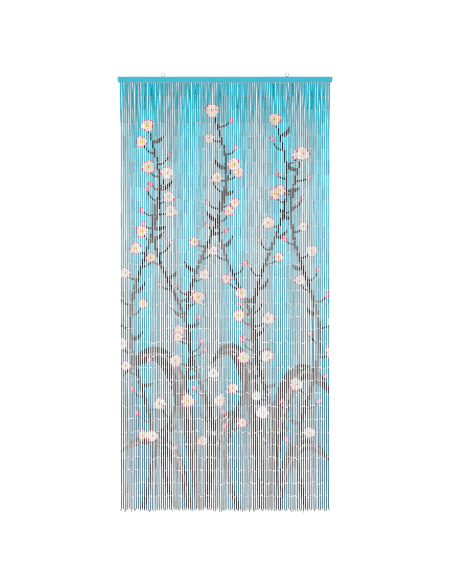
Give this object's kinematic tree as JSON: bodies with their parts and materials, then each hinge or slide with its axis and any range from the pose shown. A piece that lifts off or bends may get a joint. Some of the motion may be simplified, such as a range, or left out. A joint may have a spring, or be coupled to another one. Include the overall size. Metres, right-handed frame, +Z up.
{
  "type": "bamboo door curtain on a wooden rail",
  "caption": "Door curtain of painted bamboo stick strands hanging from a wooden rail, hung by screw eyes on its top edge.",
  "frame": {"origin": "midway between the two screw eyes, at the inside top of their rings, where the hooks bear", "axes": "+Z up along the strands, +X along the rail to the right as seen from the painted front, +Y from the front to the back"},
  "size_m": [0.9998, 0.014, 2.0413],
  "materials": {
    "rail_paint": "satin turquoise paint",
    "zinc_wire": "bright zinc plating",
    "stick_paint": "matt hand painting, turquoise turning slate blue downwards, with flowers, buds and dark leaves"
  },
  "bodies": {
    "root": {"rail": "rail_paint", "eye_left": "zinc_wire", "eye_right": "zinc_wire", "strands": "stick_paint"}
  },
  "joints": []
}
